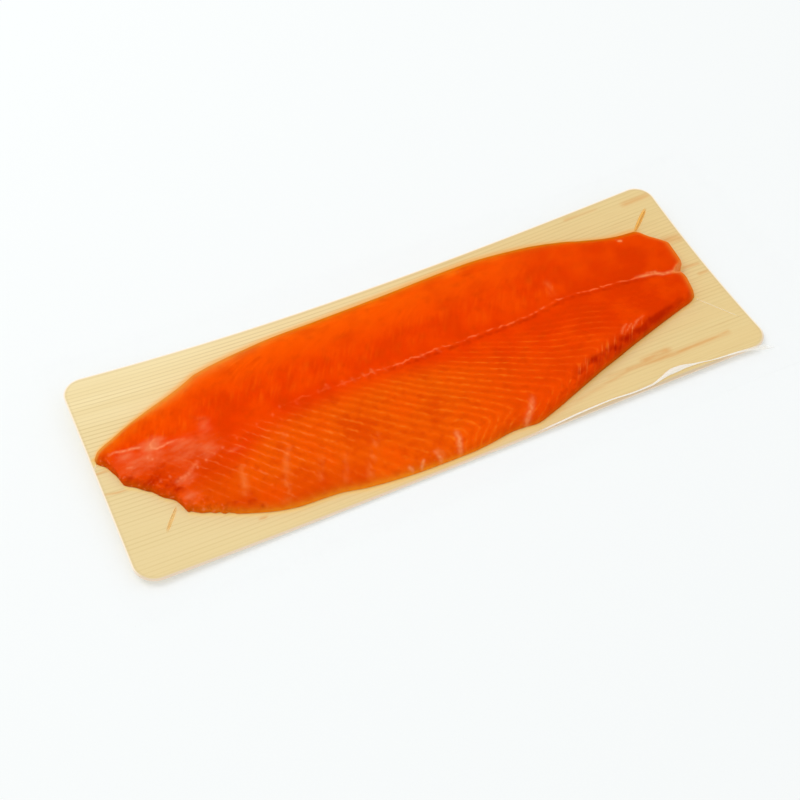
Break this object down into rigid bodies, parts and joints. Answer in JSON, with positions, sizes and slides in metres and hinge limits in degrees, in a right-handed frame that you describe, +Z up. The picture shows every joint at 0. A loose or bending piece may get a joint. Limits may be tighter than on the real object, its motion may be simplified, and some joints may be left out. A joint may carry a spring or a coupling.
{
  "type": "raw salmon fillet",
  "caption": "Whole side of raw salmon, boned, lying flesh side up on a thin rounded serving board in a flat clear vacuum pouch",
  "frame": {"origin": "middle of the flat spot under the board's centre, on the table", "axes": "+X along the board towards the fish's tail, +Y across it towards the back of the fish, +Z up"},
  "size_m": [0.5331, 0.2271, 0.0233],
  "materials": {
    "fillet": "moist orange-red fish flesh under clear film",
    "board": "satin wood-grain card, fine lengthwise lines",
    "film": "clear glossy pouch film"
  },
  "bodies": {
    "root": {"fillet": "fillet", "board": "board", "film": "film"}
  },
  "joints": []
}
